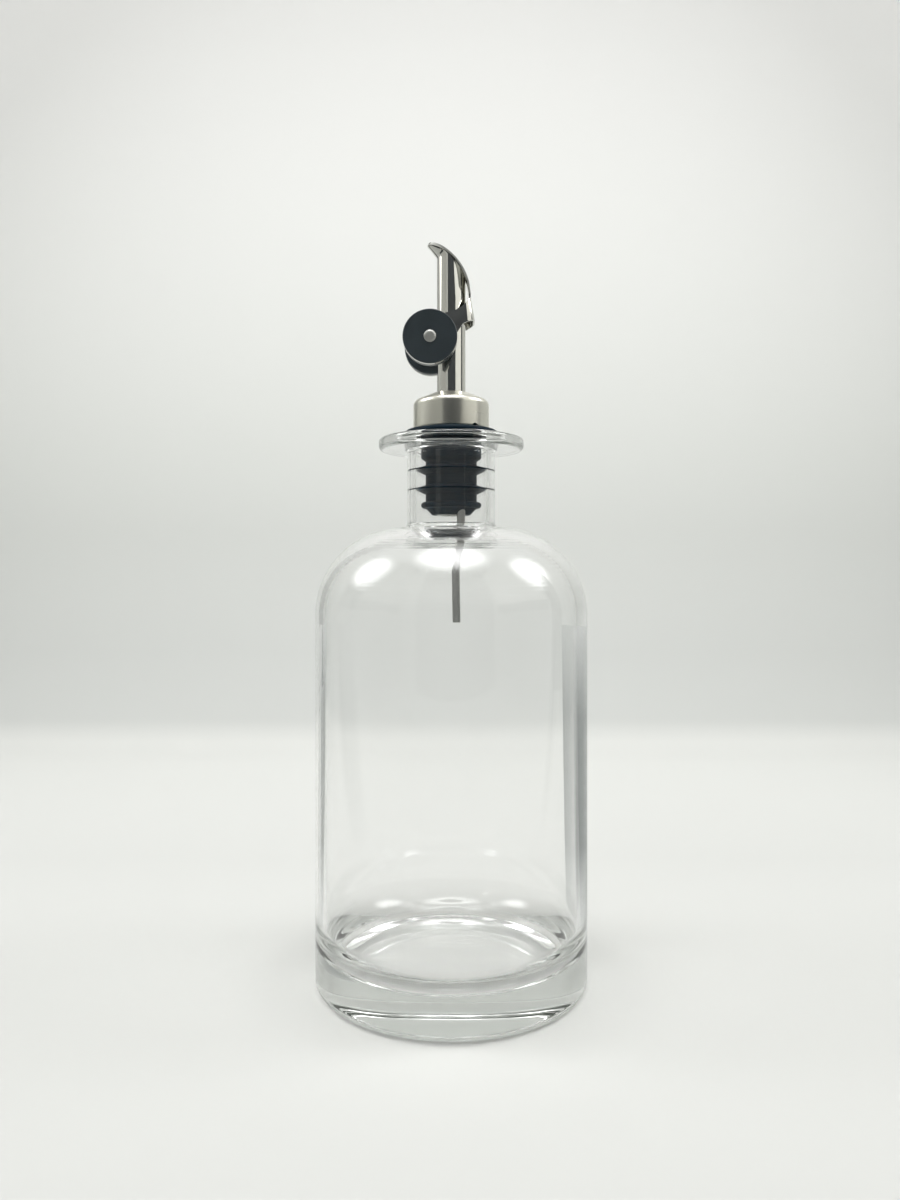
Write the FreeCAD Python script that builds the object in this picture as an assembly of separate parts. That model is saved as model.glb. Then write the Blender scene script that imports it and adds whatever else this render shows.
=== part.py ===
"""Glass oil bottle with a weighted-flap pourer.

Frame: +Z up, origin at the centre of the base, on the surface the bottle stands on. The spout pours
towards -X, and the flap swings about an axis along Y. Lengths are millimetres, angles are degrees.
"""
import FreeCAD, Part
import math
import os

V = FreeCAD.Vector
X_AXIS = V(1, 0, 0)
Y_AXIS = V(0, 1, 0)
Z_AXIS = V(0, 0, 1)

# Glass bottle
BODY_DIAMETER = 82.0
GLASS_HEIGHT = 164.0
WALL = 3.2
BASE_THICKNESS = 9.0
HEEL_ROUND = 3.0
INNER_HEEL_ROUND = 12.0
PUNT_RISE = 1.2
BEARING_WIDTH = 4.5
NECK_DIAMETER = 26.7
NECK_BORE = 21.5
NECK_LENGTH = 23.4
NECK_ROOT_ROUND = 1.5
RIM_DIAMETER = 44.0
RIM_THICKNESS = 3.6
RIM_ROUND = 1.2
RIM_ROOT_ROUND = 0.8
MOUTH_ROUND = 0.8

# Spout tube
TUBE_DIAMETER = 8.74
TUBE_WALL = 0.55
MOUTH_ARC_RADIUS = 17.25
MOUTH_ARC_HEIGHT = 42.0
LIP_BEND_RISE = 12.5
LIP_BEND_INSIDE = 1.6
LIP_ANGLE = 38.0

# Rubber stopper
STOPPER_FLANGE_THICKNESS = 2.5
STOPPER_FLANGE_MARGIN = 2.75
HEAD_ROOM = 1.4
UPPER_PLUG_LENGTH = 6.1
UPPER_PLUG_CHAMFER = 1.0
FIN_COUNT = 2
FIN_LEAD = 3.5
FIN_PITCH = 5.9
FIN_TIP = 0.4
FIN_ROOT_ABOVE = 1.25
FIN_ROOT_BELOW = 1.5
FIN_CLEARANCE = 0.2
CORE_TAIL = 2.4
END_BEAD_HEIGHT = 1.8
END_TAPER = 2.0
RUBBER_WEB = 0.4
RUBBER_SKIN = 0.6

# Steel collar
COLLAR_DIAMETER = 23.0
COLLAR_WALL = 0.8
COLLAR_SKIRT = 7.8
COLLAR_EDGE_ROUND = 0.4
COLLAR_SHOULDER_ROUND = 2.6
COLLAR_TOP_SLOPE = 13.0
NOTCH_RADIUS = 1.1
NOTCH_AZIMUTH = 38.0

# Air vent tube
VENT_DIAMETER = 2.4
VENT_WALL = 0.4
VENT_AZIMUTH = 28.0
VENT_SLOT_WIDTH = 2.0
VENT_SLOT_HEIGHT = 1.5
VENT_DROP = 32.2
VENT_FIRST_BEND = 7.0
VENT_SECOND_BEND = 16.5
VENT_LEAN_X = -1.5
VENT_LEAN_Y = 1.0
VENT_TAIL_LEAN_X = 0.4
VENT_BEND_RADIUS = 8.0

# Flap, pivot and counterweights
FLAP_SHEET = 0.55
FLAP_SEAT_GAP = 0.1
LEAF_STANDOFF = 0.98
LEAF_OVERHANG = 0.45
LEAF_TIP_ANGLE = 74.0
WAIST_HALF_WIDTH = 2.6
EAR_GAP = 0.38
SADDLE_CORNER_ROUND = 3.0
SADDLE_FLARE = 10.6
SADDLE_HEIGHT = 6.6
SADDLE_TOP_RISE = 0.8
SADDLE_FOOT_DROP = 1.6
ARM_EDGE_SAG = 1.3
ARM_EDGE_FORWARD = 1.25
ARM_EDGE_RISE = 5.25
ARM_END_ROUND = 5.5
PIVOT_DROP = 10.0
PIVOT_DIAMETER = 2.0
PIVOT_CLEARANCE = 0.05
PIVOT_SETBACK = 0.15
WEIGHT_DIAMETER = 16.2
WEIGHT_THICKNESS = 4.0
WEIGHT_CHAMFER = 0.35
WEIGHT_REACH = 6.3
WEIGHT_DROP = 2.9
RIVET_DIAMETER = 2.4
RIVET_HEAD_DIAMETER = 3.6
RIVET_HEAD_HEIGHT = 0.6
RIVET_TAIL_HEIGHT = 0.45

# Fit between pieces that are pressed or riveted together
PRESS_GAP = 0.02

# Radii and levels that follow from the sizes above
BODY_R = BODY_DIAMETER / 2
NECK_R = NECK_DIAMETER / 2
BORE_R = NECK_BORE / 2
RIM_R = RIM_DIAMETER / 2
TUBE_R = TUBE_DIAMETER / 2
TUBE_BORE_R = TUBE_R - TUBE_WALL
VENT_R = VENT_DIAMETER / 2
COLLAR_R = COLLAR_DIAMETER / 2
PIVOT_R = PIVOT_DIAMETER / 2
WEIGHT_R = WEIGHT_DIAMETER / 2
RIVET_R = RIVET_DIAMETER / 2
RIVET_HEAD_R = RIVET_HEAD_DIAMETER / 2

RIM_UNDERSIDE = GLASS_HEIGHT - RIM_THICKNESS
SHOULDER_TOP = RIM_UNDERSIDE - NECK_LENGTH
SHOULDER_R = BODY_R - NECK_R - NECK_ROOT_ROUND
SHOULDER_START = SHOULDER_TOP - SHOULDER_R

SEAT_Z = GLASS_HEIGHT
COLLAR_Z = SEAT_Z + STOPPER_FLANGE_THICKNESS
VENT_OFFSET = TUBE_R + RUBBER_WEB + VENT_R
CORE_R = VENT_OFFSET + VENT_R + RUBBER_SKIN
FIN_R = BORE_R - FIN_CLEARANCE
BEAD_R = (CORE_R + FIN_R) / 2
HEAD_R = COLLAR_R - COLLAR_WALL - PRESS_GAP
HEAD_TOP = COLLAR_Z + COLLAR_SKIRT - HEAD_ROOM
FIRST_FIN_Z = SEAT_Z - UPPER_PLUG_LENGTH - FIN_LEAD
LAST_FIN_Z = FIRST_FIN_Z - (FIN_COUNT - 1) * FIN_PITCH
STOPPER_END = LAST_FIN_Z - FIN_ROOT_BELOW - CORE_TAIL - END_BEAD_HEIGHT - END_TAPER

LEAF_INNER_R = MOUTH_ARC_RADIUS + FLAP_SEAT_GAP
LEAF_OUTER_R = LEAF_INNER_R + FLAP_SHEET
MOUTH_ARC_X = TUBE_R + LEAF_STANDOFF - LEAF_INNER_R
MOUTH_ARC_Z = SEAT_Z + MOUTH_ARC_HEIGHT
EAR_INNER_Y = TUBE_R + EAR_GAP
EAR_OUTER_Y = EAR_INNER_Y + FLAP_SHEET
PIVOT_Z = MOUTH_ARC_Z - PIVOT_DROP
WEIGHT_X = -WEIGHT_REACH
WEIGHT_Z = PIVOT_Z - WEIGHT_DROP

# Room for tools that cut right through a piece
OVERCUT = 5.0


def xz(x, z):
    """A point of the XZ plane."""
    return V(x, 0, z)


def line(a, b):
    return Part.makeLine(a, b)


def arc(a, mid, b):
    return Part.Arc(a, mid, b).toShape()


def round_corner(center, radius, start_deg, end_deg):
    """Arc of the XZ plane about center, from one angle to the other, measured from +X towards +Z."""
    angles = [math.radians(d) for d in (start_deg, (start_deg + end_deg) / 2, end_deg)]
    points = [center + xz(radius * math.cos(a), radius * math.sin(a)) for a in angles]
    return arc(*points)


def profile_face(edges):
    """Face inside a chain of edges; a straight edge closes the chain."""
    first = edges[0].Vertexes[0].Point
    last = edges[-1].Vertexes[-1].Point
    if (first - last).Length > 1e-7:
        edges = edges + [line(last, first)]
    return Part.Face(Part.Wire(Part.__sortEdges__(edges)))


def joined(*items):
    """Edges in order, with straight edges between points and between loose ends."""
    edges = []
    here = None
    for item in items:
        start = item if isinstance(item, FreeCAD.Vector) else item.Vertexes[0].Point
        if here is not None and (start - here).Length > 1e-7:
            edges.append(line(here, start))
        if isinstance(item, FreeCAD.Vector):
            here = item
        else:
            edges.append(item)
            here = item.Vertexes[-1].Point
    return edges


def turned(*items):
    """Solid of revolution about Z."""
    return profile_face(joined(*items)).revolve(V(0, 0, 0), Z_AXIS, 360)


def prism_y(face, half_width):
    """A face of the XZ plane, thickened to both sides along Y."""
    face = face.copy()
    face.translate(V(0, -half_width, 0))
    return face.extrude(V(0, 2 * half_width, 0))


def rod_y(x, z, radius, y_from, y_to):
    """Round rod along Y."""
    return Part.makeCylinder(radius, y_to - y_from, V(x, y_from, z), Y_AXIS)


def mirrored(shape):
    """The same piece on the other side of the spout."""
    return shape.mirror(V(0, 0, 0), Y_AXIS)


def rounded_path(points, radius):
    """Wire of straight runs joined by tangent arcs."""
    edges = []
    here = points[0]
    for before, corner, after in zip(points, points[1:], points[2:]):
        back = (before - corner).normalize()
        ahead = (after - corner).normalize()
        half = math.acos(max(-1, min(1, back.dot(ahead)))) / 2
        setback = radius / math.tan(half)
        inward = (back + ahead).normalize()
        center = corner + inward * (radius / math.sin(half))
        start = corner + back * setback
        end = corner + ahead * setback
        edges.append(line(here, start))
        edges.append(arc(start, center - inward * radius, end))
        here = end
    edges.append(line(here, points[-1]))
    return Part.Wire(edges)


def swept_round(path, radius):
    """Round bar along a path."""
    start = path.Edges[0]
    tangent = start.tangentAt(start.FirstParameter)
    circle = Part.Wire(Part.makeCircle(radius, path.Vertexes[0].Point, tangent))
    return path.makePipeShell([circle], True, False)


def at_azimuth(radius, degrees, z):
    """Point at a radius from the bottle's axis; azimuth 0 faces -Y and grows towards +X."""
    a = math.radians(degrees)
    return V(radius * math.sin(a), -radius * math.cos(a), z)


def make_bottle():
    """Blown bottle: heavy base, round shoulder, straight neck and a wide flat rim."""
    bearing_out = BODY_R - HEEL_ROUND
    bearing_in = bearing_out - BEARING_WIDTH
    inner_r = BODY_R - WALL
    land_r = NECK_R + NECK_ROOT_ROUND
    throat_round = land_r - BORE_R
    inner_shoulder_r = SHOULDER_R - WALL
    throat_z = SHOULDER_START + inner_shoulder_r
    punt_r = (bearing_in ** 2 + PUNT_RISE ** 2) / (2 * PUNT_RISE)
    punt_half = math.degrees(math.asin(bearing_in / punt_r))
    shoulder_center = xz(land_r, SHOULDER_START)
    return turned(
        round_corner(xz(0, PUNT_RISE - punt_r), punt_r, 90, 90 - punt_half),
        round_corner(xz(bearing_out, HEEL_ROUND), HEEL_ROUND, -90, 0),
        round_corner(shoulder_center, SHOULDER_R, 0, 90),
        round_corner(xz(land_r, SHOULDER_TOP + NECK_ROOT_ROUND), NECK_ROOT_ROUND, 270, 180),
        round_corner(xz(NECK_R + RIM_ROOT_ROUND, RIM_UNDERSIDE - RIM_ROOT_ROUND), RIM_ROOT_ROUND, 180, 90),
        round_corner(xz(RIM_R - RIM_ROUND, RIM_UNDERSIDE + RIM_ROUND), RIM_ROUND, -90, 0),
        round_corner(xz(RIM_R - RIM_ROUND, GLASS_HEIGHT - RIM_ROUND), RIM_ROUND, 0, 90),
        round_corner(xz(BORE_R + MOUTH_ROUND, GLASS_HEIGHT - MOUTH_ROUND), MOUTH_ROUND, 90, 180),
        round_corner(xz(land_r, throat_z + throat_round), throat_round, 180, 270),
        round_corner(shoulder_center, inner_shoulder_r, 90, 0),
        round_corner(xz(inner_r - INNER_HEEL_ROUND, BASE_THICKNESS + INNER_HEEL_ROUND),
                     INNER_HEEL_ROUND, 0, -90),
        xz(0, BASE_THICKNESS),
    )


def vent_path():
    """Centre line of the air tube, from the slot in the stopper's head down into the bottle."""
    top = at_azimuth(VENT_OFFSET, VENT_AZIMUTH, COLLAR_Z + VENT_SLOT_HEIGHT / 4)
    exit_point = V(top.x, top.y, STOPPER_END)
    lean = V(VENT_LEAN_X, VENT_LEAN_Y, 0)
    first = exit_point - V(0, 0, VENT_FIRST_BEND)
    second = exit_point + lean - V(0, 0, VENT_SECOND_BEND)
    tail = exit_point + lean + V(VENT_TAIL_LEAN_X, 0, -VENT_DROP)
    return rounded_path([top, first, second, tail], VENT_BEND_RADIUS)


def make_vent_tube():
    path = vent_path()
    return swept_round(path, VENT_R).cut(swept_round(path, VENT_R - VENT_WALL))


def make_stopper():
    """Moulded plug: a head inside the collar, a flange on the glass, sealing fins and an end bead."""
    flange_r = COLLAR_R + STOPPER_FLANGE_MARGIN
    flange_round = STOPPER_FLANGE_THICKNESS / 2
    upper_end = SEAT_Z - UPPER_PLUG_LENGTH
    outline = [
        xz(0, HEAD_TOP),
        xz(HEAD_R, HEAD_TOP),
        xz(HEAD_R, COLLAR_Z),
        round_corner(xz(flange_r - flange_round, SEAT_Z + flange_round), flange_round, 90, -90),
        xz(BEAD_R, SEAT_Z),
        xz(BEAD_R, upper_end),
        xz(CORE_R, upper_end - UPPER_PLUG_CHAMFER),
    ]
    for index in range(FIN_COUNT):
        fin_z = FIRST_FIN_Z - index * FIN_PITCH
        outline += [
            xz(CORE_R, fin_z + FIN_ROOT_ABOVE),
            xz(FIN_R, fin_z + FIN_TIP / 2),
            xz(FIN_R, fin_z - FIN_TIP / 2),
            xz(CORE_R, fin_z - FIN_ROOT_BELOW),
        ]
    bead_round = END_BEAD_HEIGHT / 2
    bead_z = STOPPER_END + END_TAPER + bead_round
    outline += [
        xz(CORE_R, bead_z + bead_round),
        round_corner(xz(BEAD_R - bead_round, bead_z), bead_round, 90, -90),
        xz(CORE_R - END_TAPER, STOPPER_END),
        xz(0, STOPPER_END),
    ]
    plug = turned(*outline)
    spout_hole = Part.makeCylinder(TUBE_R + PRESS_GAP, HEAD_TOP - STOPPER_END + 2 * OVERCUT,
                                   V(0, 0, STOPPER_END - OVERCUT))
    vent_at = at_azimuth(VENT_OFFSET, VENT_AZIMUTH, STOPPER_END - OVERCUT)
    vent_hole = Part.makeCylinder(VENT_R + PRESS_GAP, COLLAR_Z + VENT_SLOT_HEIGHT - vent_at.z, vent_at)
    return plug.cut(spout_hole).cut(vent_hole).cut(vent_slot())


def vent_slot():
    """Air way across the stopper's head, from the top of the vent tube to the notch in the collar."""
    inner = at_azimuth(VENT_OFFSET, VENT_AZIMUTH, COLLAR_Z)
    outer = at_azimuth(COLLAR_R + NOTCH_RADIUS, NOTCH_AZIMUTH, COLLAR_Z)
    run = outer - inner
    slot = Part.makeBox(run.Length, VENT_SLOT_WIDTH, VENT_SLOT_HEIGHT, V(0, -VENT_SLOT_WIDTH / 2, 0))
    slot.rotate(V(0, 0, 0), Z_AXIS, math.degrees(math.atan2(run.y, run.x)))
    slot.translate(inner)
    return slot


def make_collar():
    """Drawn steel cup over the stopper's head, with an air notch in its lower edge."""
    sweep = 90 - COLLAR_TOP_SLOPE
    hole_r = TUBE_R + PRESS_GAP
    shoulder = xz(COLLAR_R - COLLAR_SHOULDER_ROUND, COLLAR_Z + COLLAR_SKIRT)
    outer_arc = round_corner(shoulder, COLLAR_SHOULDER_ROUND, 0, sweep)
    inner_arc = round_corner(shoulder, COLLAR_SHOULDER_ROUND - COLLAR_WALL, sweep, 0)
    outer_end = outer_arc.Vertexes[-1].Point
    inner_end = inner_arc.Vertexes[0].Point
    rise = math.tan(math.radians(COLLAR_TOP_SLOPE))
    cup = turned(
        round_corner(xz(COLLAR_R - COLLAR_EDGE_ROUND, COLLAR_Z + COLLAR_EDGE_ROUND),
                     COLLAR_EDGE_ROUND, -90, 0),
        outer_arc,
        xz(hole_r, outer_end.z + (outer_end.x - hole_r) * rise),
        xz(hole_r, inner_end.z + (inner_end.x - hole_r) * rise),
        inner_arc,
        xz(COLLAR_R - COLLAR_WALL, COLLAR_Z),
    )
    outward = at_azimuth(1, NOTCH_AZIMUTH, 0)
    notch_from = at_azimuth(COLLAR_R - COLLAR_WALL - NOTCH_RADIUS, NOTCH_AZIMUTH, COLLAR_Z)
    notch = Part.makeCylinder(NOTCH_RADIUS, COLLAR_WALL + 2 * NOTCH_RADIUS, notch_from, outward)
    return cup.cut(notch)


def make_spout_tube():
    """Tube whose tip bends out into a pouring lip, cut to a mouth that follows a round arc."""
    bend_z = MOUTH_ARC_Z + LIP_BEND_RISE
    bend_r = TUBE_R + LIP_BEND_INSIDE
    bend = round_corner(xz(-bend_r, bend_z), bend_r, 0, LIP_ANGLE)
    bend_end = bend.Vertexes[-1].Point
    lean = math.radians(LIP_ANGLE)
    tip = bend_end + xz(-math.sin(lean), math.cos(lean)) * MOUTH_ARC_RADIUS
    path = Part.Wire([line(xz(0, STOPPER_END), xz(0, bend_z)), bend, line(bend_end, tip)])
    tube = swept_round(path, TUBE_R).cut(swept_round(path, TUBE_BORE_R))
    above = Part.makeBox(4 * MOUTH_ARC_RADIUS, 4 * TUBE_R, tip.z + 2 * TUBE_R - MOUTH_ARC_Z,
                         V(MOUTH_ARC_X - 2 * MOUTH_ARC_RADIUS, -2 * TUBE_R, MOUTH_ARC_Z))
    inside_arc = rod_y(MOUTH_ARC_X, MOUTH_ARC_Z, MOUTH_ARC_RADIUS, -3 * TUBE_R, 3 * TUBE_R)
    stud_holes = rod_y(0, PIVOT_Z, PIVOT_R + PRESS_GAP, -2 * TUBE_R, 2 * TUBE_R)
    return tube.cut(above.cut(inside_arc)).cut(stud_holes)


def make_pivot_stud():
    """Front stud, set flush in the tube's wall, that carries one ear of the flap."""
    stud = rod_y(0, PIVOT_Z, PIVOT_R, -EAR_OUTER_Y + PIVOT_SETBACK, 0)
    bore = Part.makeCylinder(TUBE_BORE_R, 4 * PIVOT_R, V(0, 0, PIVOT_Z - 2 * PIVOT_R))
    return stud.cut(bore)


def leaf_end():
    """Lower end of the leaf on the flap's outer face, where the saddle takes over."""
    return xz(MOUTH_ARC_X + LEAF_OUTER_R, MOUTH_ARC_Z)


def make_leaf():
    """Curved tongue that lies on the spout's mouth, rounded at its tip and waisted at its root."""
    center = xz(MOUTH_ARC_X, MOUTH_ARC_Z)
    half_width = TUBE_R + LEAF_OVERHANG
    strip = prism_y(profile_face(joined(
        round_corner(center, LEAF_INNER_R, 0, LEAF_TIP_ANGLE),
        round_corner(center, LEAF_OUTER_R, LEAF_TIP_ANGLE, 0),
    )), half_width)
    tip_x = MOUTH_ARC_X + LEAF_OUTER_R * math.cos(math.radians(LEAF_TIP_ANGLE))
    height = 2 * LEAF_OUTER_R
    tip_round = Part.makeCylinder(half_width, height, V(tip_x + half_width, 0, MOUTH_ARC_Z - OVERCUT))
    tail_length = leaf_end().x + OVERCUT - tip_x - half_width
    tail = Part.makeBox(tail_length, 2 * half_width, height,
                        V(tip_x + half_width, -half_width, MOUTH_ARC_Z - OVERCUT))
    leaf = strip.common(tip_round.fuse(tail))
    return leaf.cut(Part.makeCompound(waist_cuts(half_width)))


def waist_cuts(half_width):
    """Two round bites that narrow the leaf to its waist, just above the saddle."""
    bite_r = MOUTH_ARC_RADIUS / 3
    bite_y = WAIST_HALF_WIDTH + bite_r
    start = V(leaf_end().x - half_width, -bite_y, MOUTH_ARC_Z)
    bite = Part.makeCylinder(bite_r, 2 * half_width, start, X_AXIS)
    return [bite, mirrored(bite)]


def tangent_angle(center, radius, point, side):
    """Angle on a circle of the XZ plane where a line from a point touches it, on the given side."""
    run = point - center
    return math.degrees(math.atan2(run.z, run.x) + side * math.acos(radius / run.Length))


def saddle_outline():
    """Side view of the saddle and its two arms, as one prism across the spout."""
    back = leaf_end()
    flare = math.radians(SADDLE_FLARE)
    foot_back = back + xz(math.sin(flare), -math.cos(flare)) * SADDLE_HEIGHT
    foot_front = foot_back - xz(SADDLE_CORNER_ROUND + FLAP_SHEET, SADDLE_FOOT_DROP)
    top_back = back + xz(0, SADDLE_TOP_RISE)
    arm_edge = xz(-ARM_EDGE_FORWARD, PIVOT_Z + ARM_EDGE_RISE)
    run = (arm_edge - top_back).normalize()
    sag = (top_back + arm_edge) * 0.5 + xz(-run.z, run.x) * ARM_EDGE_SAG
    weight = xz(WEIGHT_X, WEIGHT_Z)
    upper = tangent_angle(weight, ARM_END_ROUND, arm_edge, 1)
    lower = tangent_angle(weight, ARM_END_ROUND, foot_front, -1) + 360
    outline = joined(
        arc(top_back, sag, arm_edge),
        round_corner(weight, ARM_END_ROUND, upper, lower),
        foot_front,
        foot_back,
        foot_back + xz(OVERCUT, OVERCUT / 2),
        top_back + xz(OVERCUT, OVERCUT),
    )
    return prism_y(profile_face(outline), 2 * EAR_OUTER_Y)


def channel_section(offset):
    """U-shaped wire of the saddle's section, in the XY plane; offset moves it in from the outer face."""
    side = EAR_OUTER_Y - offset
    corner = SADDLE_CORNER_ROUND - offset
    back = -offset
    front = -2 * (WEIGHT_REACH + ARM_END_ROUND + TUBE_R)
    diagonal = corner * (1 - math.sqrt(0.5))
    edges = []
    for sign in (1, -1):
        start = V(back - corner, sign * side, 0)
        mid = V(back - diagonal, sign * (side - diagonal), 0)
        end = V(back, sign * (side - corner), 0)
        edges += [line(V(front, sign * side, 0), start), arc(start, mid, end)]
    edges.append(line(V(back, side - corner, 0), V(back, corner - side, 0)))
    edges.append(line(V(front, side, 0), V(front, -side, 0)))
    return Part.Face(Part.Wire(Part.__sortEdges__(edges)))


def make_saddle():
    """Folded channel behind the spout, leaning out at its foot, with an arm down each side."""
    length = 4 * (SADDLE_HEIGHT + ARM_END_ROUND)
    outside = channel_section(0).extrude(V(0, 0, length))
    inside = channel_section(FLAP_SHEET).extrude(V(0, 0, length))
    channel = outside.cut(inside)
    channel.translate(V(0, 0, -length / 2))
    channel.rotate(V(0, 0, 0), Y_AXIS, -SADDLE_FLARE)
    channel.translate(leaf_end())
    saddle = channel.common(saddle_outline())
    pivot_hole = rod_y(0, PIVOT_Z, PIVOT_R + PIVOT_CLEARANCE, -2 * EAR_OUTER_Y, 2 * EAR_OUTER_Y)
    rivet_hole = rod_y(WEIGHT_X, WEIGHT_Z, RIVET_R + PRESS_GAP, -2 * EAR_OUTER_Y, 2 * EAR_OUTER_Y)
    return saddle.cut(pivot_hole).cut(rivet_hole)


def make_flap():
    """Stamped sheet flap: the leaf over the mouth and the saddle that straddles the spout."""
    return make_leaf().fuse(make_saddle()).removeSplitter()


def make_weight():
    """Front counterweight: a thick disc with broken edges, riveted to the arm's outer face."""
    disc = rod_y(WEIGHT_X, WEIGHT_Z, WEIGHT_R, -EAR_OUTER_Y - WEIGHT_THICKNESS, -EAR_OUTER_Y)
    rims = [edge for edge in disc.Edges if edge.Closed and len(edge.Vertexes) == 1]
    disc = disc.makeChamfer(WEIGHT_CHAMFER, rims)
    hole = rod_y(WEIGHT_X, WEIGHT_Z, RIVET_R + PRESS_GAP, -4 * WEIGHT_THICKNESS - EAR_OUTER_Y, 0)
    return disc.cut(hole)


def make_rivet():
    """Front rivet: domed head on the weight, shank through the arm and a tail closed on its inner face."""
    face_y = EAR_OUTER_Y + WEIGHT_THICKNESS
    dome_r = (RIVET_HEAD_R ** 2 + RIVET_HEAD_HEIGHT ** 2) / (2 * RIVET_HEAD_HEIGHT)
    half = math.degrees(math.asin(RIVET_HEAD_R / dome_r))
    dome_center = xz(0, face_y + RIVET_HEAD_HEIGHT - dome_r)
    rivet = turned(
        round_corner(dome_center, dome_r, 90, 90 - half),
        xz(RIVET_R, face_y),
        xz(RIVET_R, EAR_INNER_Y),
        xz(RIVET_HEAD_R, EAR_INNER_Y),
        xz(RIVET_HEAD_R, EAR_INNER_Y - RIVET_TAIL_HEIGHT),
        xz(0, EAR_INNER_Y - RIVET_TAIL_HEIGHT),
    )
    rivet.rotate(V(0, 0, 0), X_AXIS, 90)
    rivet.translate(xz(WEIGHT_X, WEIGHT_Z))
    return rivet


def make_parts():
    stud, weight, rivet = make_pivot_stud(), make_weight(), make_rivet()
    return {
        "bottle": make_bottle(),
        "stopper": make_stopper(),
        "collar": make_collar(),
        "spout_tube": make_spout_tube(),
        "vent_tube": make_vent_tube(),
        "pivot_stud_front": stud,
        "pivot_stud_rear": mirrored(stud),
        "flap": make_flap(),
        "weight_front": weight,
        "weight_rear": mirrored(weight),
        "weight_rivet_front": rivet,
        "weight_rivet_rear": mirrored(rivet),
    }


def main():
    os.makedirs("parts", exist_ok=True)
    for name, shape in make_parts().items():
        box = shape.BoundBox
        print(f"{name}: solids {len(shape.Solids)}, valid {shape.isValid()}, volume {shape.Volume:.1f}, "
              f"x {box.XMin:.2f}..{box.XMax:.2f}, y {box.YMin:.2f}..{box.YMax:.2f}, "
              f"z {box.ZMin:.2f}..{box.ZMax:.2f}")
        shape.exportStep(f"parts/{name}.step")


main()
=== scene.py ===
"""Looks of a pouring oil bottle: clear glass, a rubber stopper, a steel spout and its weighted flap."""

import math

import bpy
from bpy.props import FloatProperty, FloatVectorProperty, IntProperty, PointerProperty
from mathutils import Matrix, Vector


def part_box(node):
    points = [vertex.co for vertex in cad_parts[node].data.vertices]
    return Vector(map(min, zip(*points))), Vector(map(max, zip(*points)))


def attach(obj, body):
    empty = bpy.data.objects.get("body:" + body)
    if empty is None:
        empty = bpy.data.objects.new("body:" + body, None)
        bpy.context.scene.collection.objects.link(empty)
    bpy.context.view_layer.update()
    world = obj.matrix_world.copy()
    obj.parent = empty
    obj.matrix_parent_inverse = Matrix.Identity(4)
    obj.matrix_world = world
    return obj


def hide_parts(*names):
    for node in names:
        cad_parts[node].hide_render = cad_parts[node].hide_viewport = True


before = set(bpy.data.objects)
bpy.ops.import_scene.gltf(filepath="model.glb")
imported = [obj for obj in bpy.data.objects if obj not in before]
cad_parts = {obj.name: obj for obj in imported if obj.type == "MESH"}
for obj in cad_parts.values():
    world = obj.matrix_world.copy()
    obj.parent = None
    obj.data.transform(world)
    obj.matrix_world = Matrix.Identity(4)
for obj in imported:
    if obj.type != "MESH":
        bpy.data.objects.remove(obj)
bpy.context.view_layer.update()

bl_info = {
    "name": "Pouring oil bottle",
    "version": (1, 0, 0),
    "blender": (4, 5, 0),
    "location": "View3D > Sidebar > Oil bottle",
    "description": "Models and finishes a glass oil bottle with a weighted steel pourer",
    "category": "Object",
}

MM = 0.001

# Fineness of the meshes
TURN_STEPS = 160
SMALL_TURN_STEPS = 64
THIN_TURN_STEPS = 24
PUNT_STEPS = 6
LIP_STEPS = 12
CORNER_STEPS = 12
ARM_STEPS = 16
ARM_END_STEPS = 40
LEAF_STEPS = 72
EDGE_STEPS = 2
ARC_STEP = math.radians(3)
GUARD = 0.4 * MM
MERGE_DISTANCE = 1e-6
SMOOTH_ANGLE = math.radians(35)
# Crowds the leaf's rows at its round tip
LEAF_CROWDING = 1.6
# Angles of the arc that the spout's mouth is cut along
MOUTH_CUT = [math.radians(degrees) for degrees in range(6, 118, 2)]

# Small forms
PLUG_TAPER = 1 * MM
# A side divided by this gives two rounds that nearly meet in its middle
ROUND_PAIR = 2.02
# A fin's tip divided by this gives the round on its edges
TIP_ROUND = 3
# The mouth's arc divided by this gives the hollow at each side of the leaf's waist
WAIST_HOLLOW = 3
# Shares of a rivet head's radius: where its dome starts, and the dome's round
RIVET_CROWN = 0.75
RIVET_DOME = 0.5
RIVET_EDGE = 0.1 * MM
RIVET_TAIL_EDGE = 0.15 * MM
# The Y of a face's normal, above which it is a cut edge of the leaf and below which it is a weight's rim
CUT_FACING = 0.6
RIM_FACING = 0.3

# Places that the frame gives
BOTTLE_LOW, BOTTLE_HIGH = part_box("bottle")
STOPPER_LOW, STOPPER_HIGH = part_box("stopper")
COLLAR_LOW, COLLAR_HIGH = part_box("collar")
TUBE_LOW, TUBE_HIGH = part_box("spout_tube")
VENT_LOW, VENT_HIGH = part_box("vent_tube")
_, FLAP_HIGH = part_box("flap")
WEIGHT_LOW, WEIGHT_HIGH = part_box("weight_front")
RIVET_LOW, RIVET_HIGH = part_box("weight_rivet_front")
STUD_LOW, STUD_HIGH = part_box("pivot_stud_front")
BODY_R = min(-BOTTLE_LOW.x, -BOTTLE_LOW.y, BOTTLE_HIGH.x, BOTTLE_HIGH.y)
GLASS_TOP = BOTTLE_HIGH.z
COLLAR_R = COLLAR_HIGH.y
TUBE_R = TUBE_HIGH.y
EAR_Y = FLAP_HIGH.y
WEIGHT_R = (WEIGHT_HIGH.x - WEIGHT_LOW.x) / 2
WEIGHT_X = (WEIGHT_HIGH.x + WEIGHT_LOW.x) / 2
WEIGHT_Z = (WEIGHT_HIGH.z + WEIGHT_LOW.z) / 2
PIVOT_R = (STUD_HIGH.x - STUD_LOW.x) / 2
PIVOT_Z = (STUD_HIGH.z + STUD_LOW.z) / 2

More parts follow.
